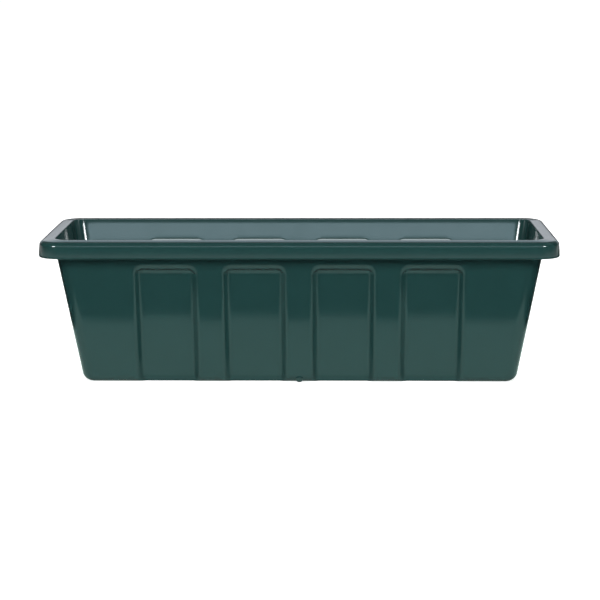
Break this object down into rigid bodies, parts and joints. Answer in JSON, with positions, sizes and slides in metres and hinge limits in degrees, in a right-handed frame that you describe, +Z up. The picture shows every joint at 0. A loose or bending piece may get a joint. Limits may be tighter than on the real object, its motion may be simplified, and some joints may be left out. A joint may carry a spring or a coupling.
{
  "type": "window box planter",
  "caption": "Moulded plastic window box planter: a tapered open trough with a wide turned-down rim, arched panels along both long walls and push-in drain plugs",
  "frame": {"origin": "On the ground under the middle of the box.", "axes": "+X along the length to the right as seen from the front, +Y to the back, +Z up. The front faces -Y."},
  "size_m": [0.61, 0.203, 0.178],
  "materials": {
    "body_plastic": "glossy dark hunter green, moulded in one colour",
    "plug_plastic": "the same green, slightly duller"
  },
  "bodies": {
    "planter": {"planter_body": "body_plastic"},
    "front_plug": {"drain_plug_front": "plug_plastic"},
    "back_plug": {"drain_plug_back": "plug_plastic"}
  },
  "joints": [
    {"name": "front_plug_pull", "type": "slide", "parent": "planter", "child": "front_plug", "axis": [0, -0.788, -0.6157], "range_m": [0, 0.012]},
    {"name": "back_plug_pull", "type": "slide", "parent": "planter", "child": "back_plug", "axis": [0, 0.788, -0.6157], "range_m": [0, 0.012]}
  ]
}
